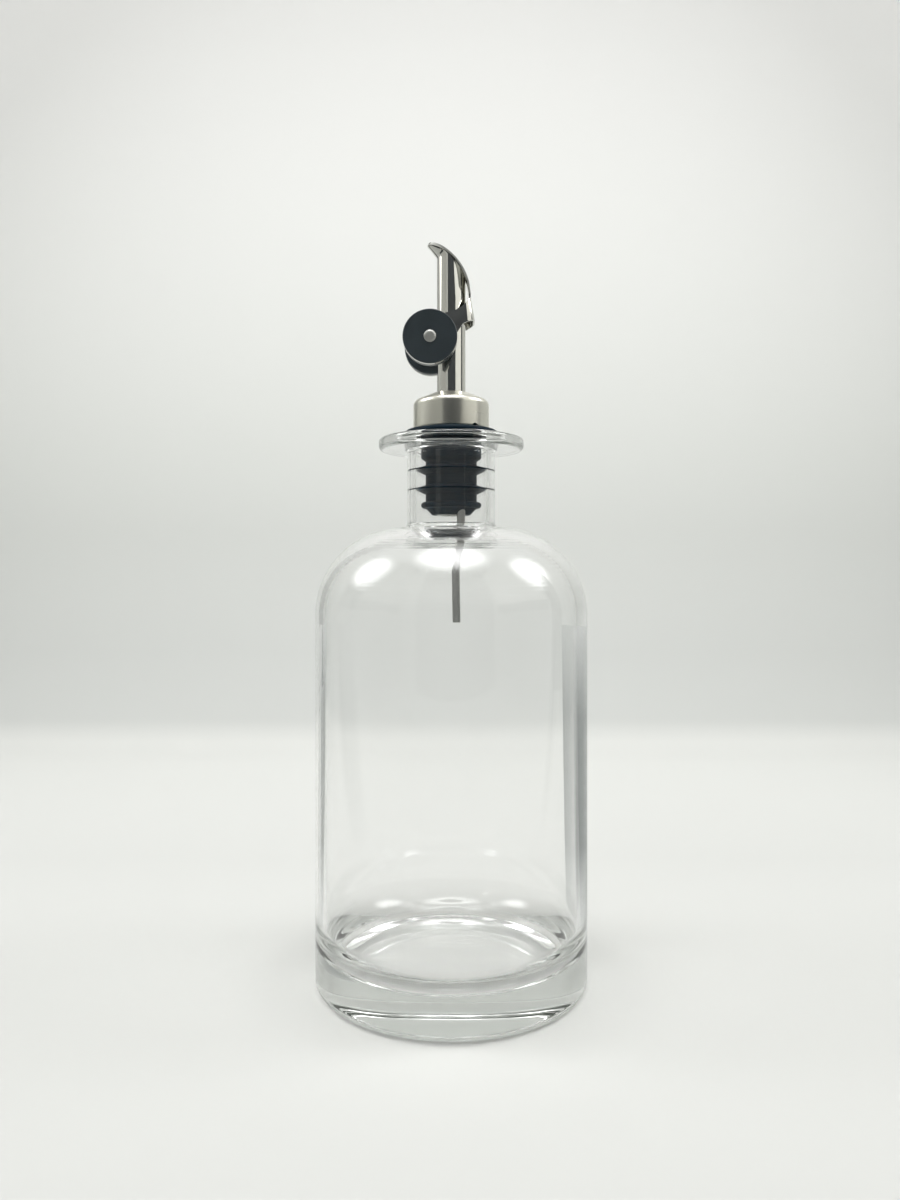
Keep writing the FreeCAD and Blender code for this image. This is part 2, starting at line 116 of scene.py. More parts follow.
# Glass
GLASS_IOR = 1.5
GLASS_ROUGHNESS = (0.0, 0.012)
WAVE_DEPTH = 0.6 * MM

# Noises that the finishes follow: scale, stretch along X, Y and Z, and detail
EVEN = (1, 1, 1)
NOISES = {
    "breath": (40, (1, 1, 0.6), 4),
    "waves": (22, (1, 1, 0.22), 1),
    "dust": (260, EVEN, 5),
    "pores": (700, EVEN, 2),
    "brushing": (30, (1, 1, 160), 4),
    "clouds": (90, (1, 1, 3), 3),
    "haze": (120, (1, 1, 0.25), 4),
    "polishing": (700, (1, 1, 0.05), 3),
    "drawing": (500, (1, 1, 0.04), 4),
    "blacking": (180, EVEN, 4),
    "blasting": (3000, EVEN, 2),
    "peening": (900, EVEN, 3),
    "card": (4, EVEN, 3),
}

# Finishes: plain sockets, then noises for colour (spread), roughness (range) and relief (strength, depth)
METAL = {"Metallic": 1.0}
FINISHES = {
    "black_rubber": (
        {"Specular IOR Level": 0.05}, ("dust", 0.25), ("dust", 0.4, 0.55), ("pores", 0.02, 0.01 * MM)),
    "satin_steel": (METAL, ("clouds", 0.05), ("brushing", 0.24, 0.36), ("brushing", 0.10, 0.01 * MM)),
    "polished_steel": (METAL, ("haze", 0.04), ("haze", 0.03, 0.08), ("polishing", 0.05, 0.01 * MM)),
    "drawn_steel": (METAL, ("drawing", 0.12), ("drawing", 0.22, 0.36), ("drawing", 0.08, 0.01 * MM)),
    "weight_black": ({}, ("blacking", 0.3), ("blacking", 0.3, 0.42), ("blasting", 0.08, 0.01 * MM)),
    "rivet_steel": (METAL, ("peening", 0.15), ("peening", 0.48, 0.66), ("peening", 0.2, 0.05 * MM)),
}

# Paper of the backdrop, with painted light and shade: where its colour changes, in metres above the floor and
# behind the bottle's axis
PAINTED_LIGHT_AND_SHADE_HEIGHTS = (0.004, 0.014, 0.06, 0.23, 0.6)
PAINTED_SHADE_DEPTHS = (-0.15, 0.12, 0.32)
WHITE = (1, 1, 1)
MATT = 0.9
CARD_SPREAD = 0.1
# Shares of a grey card's height where its colour changes
FLAG_STOPS = (0, 0.2, 0.6, 1)

# Light panels: name, place, the point that it faces and size, in metres, and the setting that holds its power
PANELS = (
    ("panel_top", (0, -0.105, 0.63), (0, -0.105, 0), (0.49, 0.41), "panel_power"),
    ("panel_side", (-0.424, 0.02, 0.475), (0, 0, 0.12), (0.30, 0.38), "left_power"),
    ("panel_side", (0.424, 0.02, 0.475), (0, 0, 0.12), (0.30, 0.38), "right_power"),
)
PANEL_MIDDLE = (0.5, 0.5, 0)
# A panel's glow fades between these distances from its middle
PANEL_FADE = {"From Min": 0.1, "From Max": 0.54, "To Min": 1, "To Max": 0}

SENSOR_WIDTH = 36
CLIP_START = 10 * MM
BOUNCES = 64


def length(description, millimetres):
    return FloatProperty(description=description, default=millimetres * MM, unit="LENGTH", precision=5)


def angle(description, degrees):
    return FloatProperty(description=description, default=math.radians(degrees), subtype="ANGLE")


def colour(description, default):
    return FloatVectorProperty(description=description, default=default, subtype="COLOR", min=0, max=1)


def amount(description, default):
    return FloatProperty(description=description, default=default, subtype="FACTOR", min=0, max=1)


def power(description, watts):
    return FloatProperty(description=description, default=watts, unit="POWER")


def group(kind):
    return PointerProperty(description=kind.__doc__, type=kind)


def labelled(kind):
    """Labels each setting of a group after its identifier."""
    for identifier, setting in kind.__annotations__.items():
        setting.keywords["name"] = identifier.replace("_", " ").capitalize()
    return kind


@labelled
class GlassSettings(bpy.types.PropertyGroup):
    """Sizes and tint of the bottle."""

    wall: length("Thickness of the side wall", 3.2)
    base: length("Thickness of the bottom", 9)
    heel: length("Outer round at the foot", 3)
    inner_heel: length("Inner round at the foot", 12)
    punt: length("Rise of the hollow under the base", 0.4)
    bearing: length("Width of the ring that the bottle stands on", 4.5)
    neck: length("Diameter of the neck", 26.7)
    bore: length("Diameter of the mouth", 21.5)
    neck_length: length("From the shoulder to the rim", 23.4)
    neck_root: length("Round between shoulder and neck", 1.5)
    rim: length("Diameter of the rim", 44)
    rim_thickness: length("Height of the rim", 3.6)
    rim_round: length("Round on the rim's edges", 1.2)
    rim_root: length("Round under the rim and in the mouth", 0.8)
    tint: colour("Colour that thick glass takes", (0.69, 0.71, 0.69))
    tint_density: FloatProperty(description="Absorption per metre", default=14.0, min=0)
    wave: amount("Unevenness of the blown surface", 0.3)


@labelled
class PourerSettings(bpy.types.PropertyGroup):
    """Sizes and colours of the stopper, collar, spout and air tube."""

    plug: length("Radius of the stopper's upper land and end bead", 9.16)
    plug_length: length("From the rim to the end of the upper land", 6.1)
    core: length("Radius of the stopper between its fins", 7.77)
    fin: length("Radius of a sealing fin, pressed on the glass", 10.78)
    fin_lead: length("From the upper land to the first fin", 3.5)
    fin_pitch: length("Step between the fins", 5.9)
    fin_count: IntProperty(description="Number of sealing fins", default=2, min=1)
    fin_tip: length("Thickness of a fin at its rim", 0.4)
    fin_above: length("Reach of a fin's upper root", 1.25)
    fin_below: length("Reach of a fin's lower root", 1.5)
    end_bead: length("Height of the bead at the stopper's end", 1.8)
    end_taper: length("Height and depth of the taper below the bead", 2)
    rubber_round: length("Small round on the rubber's corners", 0.25)
    flange_film: length("Air between the flange and the rim, which keeps the rim bright", 0.05)
    collar_wall: length("Sheet of the steel collar", 0.8)
    collar_foot: length("Height of the taper at the collar's lower edge", 0.65)
    collar_taper: length("How far the collar's lower edge draws in", 0.2)
    collar_shoulder: length("Round on the collar's shoulder", 2)
    collar_slope: angle("Slope of the collar's shoulder", 23)
    collar_ring: length("Radius of the flatter ring round the spout", 5.6)
    collar_drop: length("Drop of the flatter ring", 0.25)
    notch: length("Radius of the notch in the collar's edge", 1.1)
    notch_azimuth: angle("Place of the notch, from the front towards the right", 38)
    tube_wall: length("Sheet of the spout tube", 0.55)
    mouth: length("Radius of the arc that the spout's mouth is cut to", 17.25)
    mouth_rise: length("Height of the arc's centre above the rim", 42)
    mouth_standoff: length("How far the arc passes behind the tube", 0.88)
    lip_rise: length("Start of the lip's bend above the arc's centre", 12.5)
    lip_inside: length("Inner radius of the lip's bend", 1.6)
    lip_angle: angle("Bend of the pouring lip", 38)
    mouth_edge: length("Round on the cut edge of the mouth", 0.07)
    vent_wall: length("Sheet of the air tube", 0.4)
    vent_lean: FloatVectorProperty(
        description="Sideways step between the air tube's bends",
        default=(-1.5 * MM, 1 * MM, 0), subtype="TRANSLATION")
    vent_tail: length("Sideways step of the air tube's end", 0.4)
    vent_first: length("First bend of the air tube below the stopper", 7)
    vent_second: length("Second bend of the air tube below the stopper", 16.5)
    vent_bend: length("Round of the air tube's bends", 8)
    rubber: colour("Colour of the stopper", (0.001, 0.008, 0.015))
    satin: colour("Colour of the collar", (0.63, 0.62, 0.55))
    steel: colour("Colour of the polished steel", (0.63, 0.625, 0.585))
    dull: colour("Colour of the drawn air tube", (0.30, 0.30, 0.29))


@labelled
class FlapSettings(bpy.types.PropertyGroup):
    """Sizes and colours of the flap, its weights and rivets."""

    sheet: length("Thickness of the stamped sheet", 0.55)
    seat: length("Gap between the leaf and the spout's mouth", 0.1)
    overhang: length("How far the leaf stands out past the tube", 0.45)
    tip_angle: angle("Where the leaf's tip lies on the arc", 74)
    waist: length("Half the leaf's width above the saddle", 2.6)
    corner: length("Round between the saddle's back and its arms", 3)
    flare: angle("Lean of the saddle's back", 10.6)
    height: length("Length of the saddle's back", 6.6)
    top_rise: length("Rise of the saddle's back above the arc's centre", 0.8)
    foot_drop: length("Drop of the saddle's lower edge towards the front", 1.6)
    arm_sag: length("Hollow of the arm's upper edge", 1.3)
    arm_forward: length("Reach of the arm's upper edge past the pivot", 1.25)
    arm_rise: length("Height of the arm's upper edge above the pivot", 5.25)
    arm_end: length("Radius of the arm's round end", 5.5)
    edge: length("Round on the sheet's edges", 0.08)
    pivot_play: length("Play of the pivot holes", 0.05)
    weight_edge: length("Round on the weights' edges", 0.25)
    weight_band: length("Width of the bright band on a weight's edge", 1.5)
    rivet_hole: length("Radius of a rivet's hole", 1.22)
    rivet_spread: length("How far the hammered head spreads", 0.2)
    rivet_tail: length("Height of a rivet's closed end", 0.45)
    black: colour("Colour of the weights' faces", (0.025, 0.034, 0.040))
    rivet: colour("Colour of the rivets", (0.38, 0.385, 0.365))


@labelled
class StudioSettings(bpy.types.PropertyGroup):
    """Camera, backdrop and light."""

    distance: length("From the bottle's axis to the camera", 283)
    height: length("Height of the camera", 123.3)
    offset: length("Sideways place of the camera", -0.37)
    lens: FloatProperty(description="Focal length for a sensor of 36 mm", default=27.9)
    shift: FloatProperty(description="Shift that frames the photograph", default=-0.0225)
    floor_gap: length("Air under the glass, which keeps its base bright", 0.1)
    floor_width: length("Half the width of the flat floor", 420)
    floor_depth: length("From the bottle's axis to where the backdrop starts to rise", 340)
    floor_corner: length("Round on the floor's corners", 80)
    cove: length("Round between floor and backdrop", 160)
    wall_height: length("Height of the backdrop", 800)
    # These colours by height paint light and shade on the backdrop: darker just above the floor, lighter
    # towards the top
    floor: colour("Colour of the floor far behind the bottle", (0.685, 0.69, 0.67))
    wall_foot: colour("Colour of the backdrop just above the floor", (0.57, 0.58, 0.565))
    wall_middle: colour("Colour of the backdrop behind the bottle", (0.69, 0.70, 0.68))
    wall_top: colour("Colour of the backdrop at its top", (0.98, 0.975, 0.965))
    # Painted shade: near and middle darken the paper before and beside the bottle
    near: colour("Darkening of the paper before the bottle", (0.73, 0.73, 0.73))
    middle: colour("Darkening of the paper beside the bottle", (0.80, 0.80, 0.80))
    sky: colour("Colour of the soft light from above", (0.97, 0.98, 0.96))
    sky_strength: FloatProperty(description="Strength of the soft light", default=0.79)
    panel_power: power("Power of the overhead panel", 5.9)
    left_power: power("Power of the left panel", 3.6)
    right_power: power("Power of the right panel", 3.6)
    card: colour("Colour of the dark card behind the camera", (0.035, 0.038, 0.042))
    opening_left: length("Left edge of the dark card", -205)
    opening_right: length("Right edge of the dark card", 260)
    opening_low: length("Lower edge of the dark card", 40)
    opening_high: length("Upper edge of the dark card", 800)
    opening_distance: length("From the bottle's axis to the dark card", 400)
    strip_distance: length("From the bottle's axis to the thin dark strips", 440)
    strip_right: angle("Where the right strip starts, from straight behind the bottle", 82)
    strip_left: angle("Where the left strip starts, from straight behind the bottle", -52)
    strip_width: angle("Width of a thin dark strip", 12)
    white: colour("Colour of the white card at the right, before the bottle", (0.86, 0.85, 0.82))
    grey: colour("Colour of the grey card at the left, before the bottle", (0.40, 0.40, 0.385))
    bounce_right: angle("Where the white card starts, from straight behind the bottle", 96)
    bounce_left: angle("Where the grey card starts, from straight behind the bottle", -140)
    bounce_width: angle("Width of the white and grey cards", 48)
    band_low: length("Lower edge of the dark bands under the white and grey cards", 150)
    band_high: length("Upper edge of the dark bands under the white and grey cards", 222)
    flag: colour("Colour of the grey cards behind the bottle's sides", (0.17, 0.18, 0.175))
    flag_foot: colour("Colour of the grey cards at their lower edges", (0.5, 0.51, 0.5))
    flag_top: colour("Colour of the grey cards at their upper edges", (0.36, 0.37, 0.36))
    flag_height: length("Height of the grey cards' upper edge", 95)
    flag_near: length("From the bottle's side to a grey card's lower edge", 40)
    flag_far: length("From the bottle's side to a grey card's upper edge", 230)
    flag_right: angle("Where the right card starts, from straight behind the bottle's side", 14)
    flag_left: angle("Where the left card starts, from straight behind the bottle's side", 36)
    flag_right_end: angle("Where the right card ends", 56)
    flag_left_end: angle("Where the left card ends", 47)


@labelled
class OilBottleSettings(bpy.types.PropertyGroup):
    """All settings of the oil bottle."""

    glass: group(GlassSettings)
    pourer: group(PourerSettings)
    flap: group(FlapSettings)
    studio: group(StudioSettings)


def settings():
    return bpy.context.scene.oil_bottle


def rounded(*corners):
    """Outline through (x, z, round) corners, each rounded by an arc, with guard points on long runs."""
    points = []
    for index, (x, z, radius) in enumerate(corners):
        corner = Vector((x, z))
        if radius == 0:
            points.append(corner)
            continue
        back = (Vector(corners[index - 1][:2]) - corner).normalized()
        ahead = (Vector(corners[(index + 1) % len(corners)][:2]) - corner).normalized()
        half = back.angle(ahead) / 2
        centre = corner + (back + ahead).normalized() * radius / math.sin(half)
        start = corner + back * radius / math.tan(half) - centre
        turn = math.pi - 2 * half
        if back.x * ahead.y - back.y * ahead.x > 0:
            turn = -turn
        steps = max(2, round(abs(turn) / ARC_STEP))
        for step in range(steps + 1):
            points.append(centre + Matrix.Rotation(turn * step / steps, 2) @ start)
    return guarded(points)


def guarded(points):
    """Adds a point near both ends of each long straight run, which keeps the shading true along it."""
    result = [points[0]]
    for before, after in zip(points, points[1:]):
        run = after - before
        if run.length > 3 * GUARD:
            step = run.normalized() * GUARD
            result += [before + step, after - step]
        result.append(after)
    return result


def deselect():
    bpy.ops.object.select_all(action="DESELECT")


def edit_all():
    """Opens the active mesh with everything selected."""
    bpy.ops.object.mode_set(mode="EDIT")
    bpy.ops.mesh.select_all(action="SELECT")


def extrude(step):
    bpy.ops.mesh.extrude_region_move(TRANSFORM_OT_translate={"value": step})


def freeze():
    """Takes an object's place, turn and scale into its mesh."""
    bpy.ops.object.transform_apply(location=True, rotation=True, scale=True)


def ring(name, place, radius, steps):
    """A new circle of edges, in edit mode."""
    deselect()
    bpy.ops.mesh.primitive_circle_add(vertices=steps, radius=radius, location=place)
    piece = bpy.context.object
    piece.name = name
    freeze()
    edit_all()
    return piece


def start_vertex(name, place):
    """A new mesh of one vertex, in edit mode."""
    deselect()
    bpy.ops.mesh.primitive_plane_add(size=1)
    piece = bpy.context.object
    piece.name = name
    edit_all()
    bpy.ops.mesh.merge(type="CENTER")
    bpy.ops.transform.translate(value=place)
    return piece


def draw(name, points):
    """A chain of edges, drawn by extruding a vertex from point to point."""
    points = [Vector(p) for p in points]
    piece = start_vertex(name, points[0])
    for before, after in zip(points, points[1:]):
        extrude(after - before)
    bpy.ops.mesh.select_all(action="SELECT")
    bpy.ops.mesh.remove_doubles(threshold=MERGE_DISTANCE)
    return piece


def close_mesh():
    """Merges doubled vertices, turns the faces outwards and leaves edit mode."""
    bpy.ops.mesh.select_all(action="SELECT")
    bpy.ops.mesh.remove_doubles(threshold=MERGE_DISTANCE)
    bpy.ops.mesh.normals_make_consistent(inside=False)
    bpy.ops.object.mode_set(mode="OBJECT")


def turned(name, outline):
    """An outline of (radius, height) points, spun round the bottle's axis."""
    piece = draw(name, [(r, 0, z) for r, z in outline])
    bpy.ops.mesh.spin(steps=TURN_STEPS, angle=math.tau, center=(0, 0, 0), axis=(0, 0, 1))
    close_mesh()
    return piece


def turned_across(name, outline, x, z, steps=SMALL_TURN_STEPS):
    """An outline of (radius, y) points, spun round a line along Y."""
    piece = draw(name, [(x + r, y, z) for r, y in outline])
    bpy.ops.mesh.spin(steps=steps, angle=math.tau, center=(x, 0, z), axis=(0, 1, 0))
    close_mesh()
    return piece


def prism(name, outline, low, high):
    """A closed outline of (x, z) points, drawn at low and extruded along Y to high."""
    outline = list(outline)
    piece = draw(name, [(x, low, z) for x, z in outline + outline[:1]])
    bpy.ops.mesh.edge_face_add()
    extrude((0, high - low, 0))
    close_mesh()
    return piece


def rod(name, start, run, radius):
    """A round bar from a point along a run."""
    deselect()
    run = Vector(run)
    turn = run.to_track_quat("Z", "Y").to_euler()
    bpy.ops.mesh.primitive_cylinder_add(vertices=SMALL_TURN_STEPS, radius=radius, depth=run.length,
                                        location=Vector(start) + run / 2, rotation=turn)
    piece = bpy.context.object
    piece.name = name
    freeze()
    return piece


def make_active(piece):
    deselect()
    piece.select_set(True)
    bpy.context.view_layer.objects.active = piece


def modify(piece, kind, **values):
    """Adds a modifier, sets it and applies it."""
    make_active(piece)
    modifier = piece.modifiers.new(kind.title(), kind)
    for name, value in values.items():
        setattr(modifier, name, value)
    bpy.ops.object.modifier_apply(modifier=modifier.name)


def thicken(piece, sheet, inside):
    """Gives an open skin its wall, towards a point on its inner side."""
    face = min(piece.data.polygons, key=lambda f: (f.center - inside).length)
    offset = -1 if face.normal.dot(face.center - inside) > 0 else 1
    modify(piece, "SOLIDIFY", thickness=sheet, offset=offset, use_even_offset=True)


def combine(piece, tool, operation):
    """Boolean of a piece with a tool, which is used up."""
    modify(piece, "BOOLEAN", object=tool, operation=operation, solver="MANIFOLD")
    bpy.data.objects.remove(tool)
    if not piece.data.polygons:
        raise RuntimeError(f"{piece.name} is empty after {operation}")


def soften(piece, width):
    """Rounds the sharp edges and shades the rest smooth."""
    modify(piece, "BEVEL", width=width, segments=EDGE_STEPS, limit_method="ANGLE",
           angle_limit=SMOOTH_ANGLE, use_clamp_overlap=True)
    smooth(piece)


def smooth(piece):
    make_active(piece)
    bpy.ops.object.shade_smooth_by_angle(angle=SMOOTH_ANGLE)


def settle(piece, body, slot, material, *nodes):
    """Gives a finished piece its material and body, and hides the CAD nodes that it stands for. The slot is
    not used.
    """
    piece.data.materials.clear()
    piece.data.materials.append(material)
    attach(piece, body)
    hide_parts(*nodes)


def new_finish(name):
    """A new material, its node tree and its shader."""
    material = bpy.data.materials.new(name)
    material.use_nodes = True
    return material, material.node_tree, material.node_tree.nodes["Principled BSDF"]


def add(tree, kind, inputs=None, **options):
    """A new node with some of its options set, and with its inputs linked to sockets or set to values."""
    node = tree.nodes.new(kind)
    for name, value in options.items():
        setattr(node, name, value)
    for name, value in (inputs or {}).items():
        if isinstance(value, bpy.types.NodeSocket):
            tree.links.new(value, node.inputs[name])
        else:
            node.inputs[name].default_value = value
    return node


def grain(tree, name):
    """Noise on Object coordinates, drawn out along the way that the surface was worked."""
    scale, stretch, detail = NOISES[name]
    place = add(tree, "ShaderNodeTexCoord").outputs["Object"]
    drawn_out = add(tree, "ShaderNodeMapping", {"Vector": place, "Scale": stretch}).outputs["Vector"]
    noise = add(tree, "ShaderNodeTexNoise", {"Vector": drawn_out, "Scale": scale, "Detail": detail})
    return noise.outputs["Fac"]


def vary(tree, source, socket, low, high):
    """Drives a number socket between two values."""
    spread = add(tree, "ShaderNodeMapRange", {"Value": source, "To Min": low, "To Max": high})
    tree.links.new(spread.outputs["Result"], socket)


def tone(tree, source, socket, base, change):
    """Drives a colour socket a little below and above a base colour."""
    ramp = add(tree, "ShaderNodeValToRGB", {"Fac": source})
    for element, factor in zip(ramp.color_ramp.elements, (1 - change, 1 + change)):
        element.color = [min(1, c * factor) for c in base] + [1]
    tree.links.new(ramp.outputs["Color"], socket)


def emboss(tree, source, shader, strength, depth):
    """Fine relief from a noise."""
    bump = add(tree, "ShaderNodeBump", {"Height": source, "Strength": strength, "Distance": depth})
    tree.links.new(bump.outputs["Normal"], shader.inputs["Normal"])


def clear_glass(glass):
    material, tree, shader = new_finish("clear_glass")
    shader.inputs["Transmission Weight"].default_value = 1.0
    shader.inputs["IOR"].default_value = GLASS_IOR
    shader.inputs["Base Color"].default_value = (*WHITE, 1)
    vary(tree, grain(tree, "breath"), shader.inputs["Roughness"], *GLASS_ROUGHNESS)
    emboss(tree, grain(tree, "waves"), shader, glass.wave, WAVE_DEPTH)
    absorption = {"Density": glass.tint_density, "Color": (*glass.tint, 1)}
    depth = add(tree, "ShaderNodeVolumeAbsorption", absorption)
    tree.links.new(depth.outputs["Volume"], tree.nodes["Material Output"].inputs["Volume"])
    return material


MADE_FINISHES = {}


def finish(name, base):
    """A finish of the table on a base colour, made once and shared."""
    if name not in MADE_FINISHES:
        material, tree, shader = new_finish(name)
        sockets, (toning, spread), (dulling, low, high), (relief, strength, depth) = FINISHES[name]
        for socket, value in sockets.items():
            shader.inputs[socket].default_value = value
        tone(tree, grain(tree, toning), shader.inputs["Base Color"], base, spread)
        vary(tree, grain(tree, dulling), shader.inputs["Roughness"], low, high)
        emboss(tree, grain(tree, relief), shader, strength, depth)
        MADE_FINISHES[name] = material
    return MADE_FINISHES[name]


class OILBOTTLE_OT_bottle(bpy.types.Operator):
    """Turn the glass bottle: heavy base, round shoulder, straight neck and flat rim"""

    bl_idname = "oil_bottle.bottle"
    bl_label = "Bottle"

    def execute(self, context):
        glass = settings().glass
        neck_r = glass.neck / 2
        bore_r = glass.bore / 2
        inner_r = BODY_R - glass.wall
        bearing_in = BODY_R - glass.heel - glass.bearing
        rim_under = GLASS_TOP - glass.rim_thickness
        shoulder_top = rim_under - glass.neck_length
        land_r = neck_r + glass.neck_root
        shoulder = BODY_R - land_r
        inner_top = shoulder_top - glass.wall
        punt = [(bearing_in * k / PUNT_STEPS, glass.punt * (1 - (k / PUNT_STEPS) ** 2))
                for k in range(PUNT_STEPS)]
        outside = rounded(
            (bearing_in, 0, 0),
            (BODY_R, 0, glass.heel),
            (BODY_R, shoulder_top, shoulder),
            (neck_r, shoulder_top, glass.neck_root),
            (neck_r, rim_under, glass.rim_root),
            (glass.rim / 2, rim_under, glass.rim_round),
            (glass.rim / 2, GLASS_TOP, glass.rim_round),
            (bore_r, GLASS_TOP, glass.rim_root),
            (bore_r, inner_top, land_r - bore_r),
            (inner_r, inner_top, shoulder - glass.wall),
            (inner_r, glass.base, glass.inner_heel),
            (0, glass.base, 0),
        )
        bottle = turned("bottle_glass", punt + [tuple(p) for p in outside])
        smooth(bottle)
        settle(bottle, "bottle", "glass", clear_glass(glass), "bottle")
        return {"FINISHED"}


class OILBOTTLE_OT_stopper(bpy.types.Operator):
    """Turn the rubber stopper with its head, flange, fins and end bead"""

    bl_idname = "oil_bottle.stopper"
    bl_label = "Stopper"

    def execute(self, context):
        pourer = settings().pourer
        edge = pourer.rubber_round
        head_r = COLLAR_R - pourer.collar_wall
        flange_r = STOPPER_HIGH.y
        flange_low = GLASS_TOP + pourer.flange_film
        flange_round = (COLLAR_LOW.z - flange_low) / ROUND_PAIR
        land_end = GLASS_TOP - pourer.plug_length
        corners = [
            (TUBE_R, STOPPER_HIGH.z, 0),
            (head_r, STOPPER_HIGH.z, edge),
            (head_r, COLLAR_LOW.z, 0),
            (flange_r, COLLAR_LOW.z, flange_round),
            (flange_r, flange_low, flange_round),
            (pourer.plug, flange_low, edge),
            (pourer.plug, land_end, edge),
            (pourer.core, land_end - PLUG_TAPER, edge),
        ]
        for index in range(pourer.fin_count):
            fin_z = land_end - pourer.fin_lead - index * pourer.fin_pitch
            corners += [
                (pourer.core, fin_z + pourer.fin_above, edge),
                (pourer.fin, fin_z + pourer.fin_tip / 2, pourer.fin_tip / TIP_ROUND),
                (pourer.fin, fin_z - pourer.fin_tip / 2, pourer.fin_tip / TIP_ROUND),
                (pourer.core, fin_z - pourer.fin_below, edge),
            ]
        bead_low = STOPPER_LOW.z + pourer.end_taper
        bead_round = pourer.end_bead / ROUND_PAIR
        corners += [
            (pourer.core, bead_low + pourer.end_bead, edge),
            (pourer.plug, bead_low + pourer.end_bead, bead_round),
            (pourer.plug, bead_low, bead_round),
            (pourer.core, bead_low, 0),
            (pourer.core - pourer.end_taper, STOPPER_LOW.z, edge),
            (TUBE_R, STOPPER_LOW.z, 0),
            (TUBE_R, STOPPER_HIGH.z, 0),
        ]
        stopper = turned("stopper_rubber", rounded(*corners))
        smooth(stopper)
        settle(stopper, "pourer", "black_rubber", finish("black_rubber", pourer.rubber), "stopper")
        return {"FINISHED"}


class OILBOTTLE_OT_collar(bpy.types.Operator):
    """Turn the steel collar and cut the air notch in its lower edge"""

    bl_idname = "oil_bottle.collar"
    bl_label = "Collar"

    def execute(self, context):
        pourer = settings().pourer
        low, top, wall = COLLAR_LOW.z, COLLAR_HIGH.z, pourer.collar_wall
        inner_r = COLLAR_R - wall
        above_notch = low + 2 * pourer.notch
        ring_z = top - pourer.collar_drop
        shoulder_z = ring_z - (COLLAR_R - pourer.collar_ring) * math.tan(pourer.collar_slope)
        collar = turned("collar_steel", rounded(
            (inner_r, low, 0),
            (COLLAR_R - pourer.collar_taper, low, pourer.collar_taper / 2),
            (COLLAR_R, low + pourer.collar_foot, pourer.collar_foot),
            (COLLAR_R, above_notch, 0),
            (COLLAR_R, shoulder_z, pourer.collar_shoulder),
            (pourer.collar_ring, ring_z, pourer.collar_shoulder),
            (TUBE_R, top, 0),
            (TUBE_R, top - wall, 0),
            (inner_r, shoulder_z - wall, pourer.collar_shoulder / 2),
            (inner_r, above_notch, 0),
            (inner_r, low, 0),
        ))
        outward = Vector((math.sin(pourer.notch_azimuth), -math.cos(pourer.notch_azimuth), 0))
        start = outward * (inner_r - pourer.notch) + Vector((0, 0, low))
        notch = rod("notch", start, outward * (wall + 2 * pourer.notch), pourer.notch)
        combine(collar, notch, "DIFFERENCE")
        smooth(collar)
        settle(collar, "pourer", "satin_steel", finish("satin_steel", pourer.satin), "collar")
        return {"FINISHED"}


class OILBOTTLE_OT_spout(bpy.types.Operator):
    """Bend the spout tube, cut its mouth to a round arc and finish the pivot studs"""

    bl_idname = "oil_bottle.spout"
    bl_label = "Spout"

    def execute(self, context):
        pourer = settings().pourer
        arc_x = TUBE_R + pourer.mouth_standoff - pourer.mouth
        arc_z = GLASS_TOP + pourer.mouth_rise
        bend_z = arc_z + pourer.lip_rise
        bend_x = -(TUBE_R + pourer.lip_inside)
        lean = Vector((-math.sin(pourer.lip_angle), 0, math.cos(pourer.lip_angle)))
        tube = ring("spout_steel", (0, 0, TUBE_LOW.z), TUBE_R, SMALL_TURN_STEPS)
        for height in (GUARD, arc_z - TUBE_LOW.z - GUARD, pourer.lip_rise):
            extrude((0, 0, height))
        bpy.ops.mesh.spin(
            steps=LIP_STEPS, angle=pourer.lip_angle, center=(bend_x, 0, bend_z), axis=(0, 1, 0))
        extrude(lean * pourer.mouth)
        close_mesh()
        thicken(tube, pourer.tube_wall, Vector((0, 0, (TUBE_LOW.z + arc_z) / 2)))
        reach = 4 * pourer.mouth
        arc = [(arc_x + pourer.mouth * math.cos(a), arc_z + pourer.mouth * math.sin(a)) for a in MOUTH_CUT]
        outer = [(arc_x - reach, arc[-1][1]), (arc_x - reach, arc_z + reach),
                 (arc_x + reach, arc_z + reach), (arc_x + reach, arc[0][1])]
        combine(tube, prism("mouth_cut", arc + outer, -3 * TUBE_R, 3 * TUBE_R), "DIFFERENCE")
        soften(tube, pourer.mouth_edge)
        steel = finish("polished_steel", pourer.steel)
        settle(tube, "pourer", "polished_steel", steel, "spout_tube")
        for name in ("pivot_stud_front", "pivot_stud_rear"):
            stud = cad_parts[name]
            stud.data.materials.clear()
            stud.data.materials.append(steel)
        return {"FINISHED"}


class OILBOTTLE_OT_air_tube(bpy.types.Operator):
    """Draw the thin air tube down from the stopper with its two slight bends"""

    bl_idname = "oil_bottle.air_tube"
    bl_label = "Air tube"

    def execute(self, context):
        pourer = settings().pourer
        radius = (VENT_HIGH.x - VENT_LOW.x - abs(pourer.vent_lean[0])) / 2
        top = Vector((VENT_HIGH.x - radius, VENT_LOW.y + radius, VENT_HIGH.z))
        lean = Vector(pourer.vent_lean)
        tail = lean + Vector((pourer.vent_tail, 0, 0))
        stopper_end = STOPPER_LOW.z
        side = rounded(
            (0, top.z, 0),
            (0, stopper_end - pourer.vent_first, pourer.vent_bend),
            (lean.length, stopper_end - pourer.vent_second, pourer.vent_bend),
            (tail.length, VENT_LOW.z, 0),
        )
        tube = ring("air_tube_steel", top, radius, THIN_TURN_STEPS)
        here = top.copy()
        for reach, z in side[1:]:
            if reach <= lean.length:
                step = lean * (reach / lean.length)
            else:
                step = lean + (tail - lean) * ((reach - lean.length) / (tail.length - lean.length))
            there = Vector((top.x + step.x, top.y + step.y, z))
            extrude(there - here)
            here = there
        close_mesh()
        thicken(tube, pourer.vent_wall, (top + Vector((top.x, top.y, stopper_end))) / 2)
        smooth(tube)
        settle(tube, "pourer", "polished_steel", finish("drawn_steel", pourer.dull), "vent_tube")
        return {"FINISHED"}


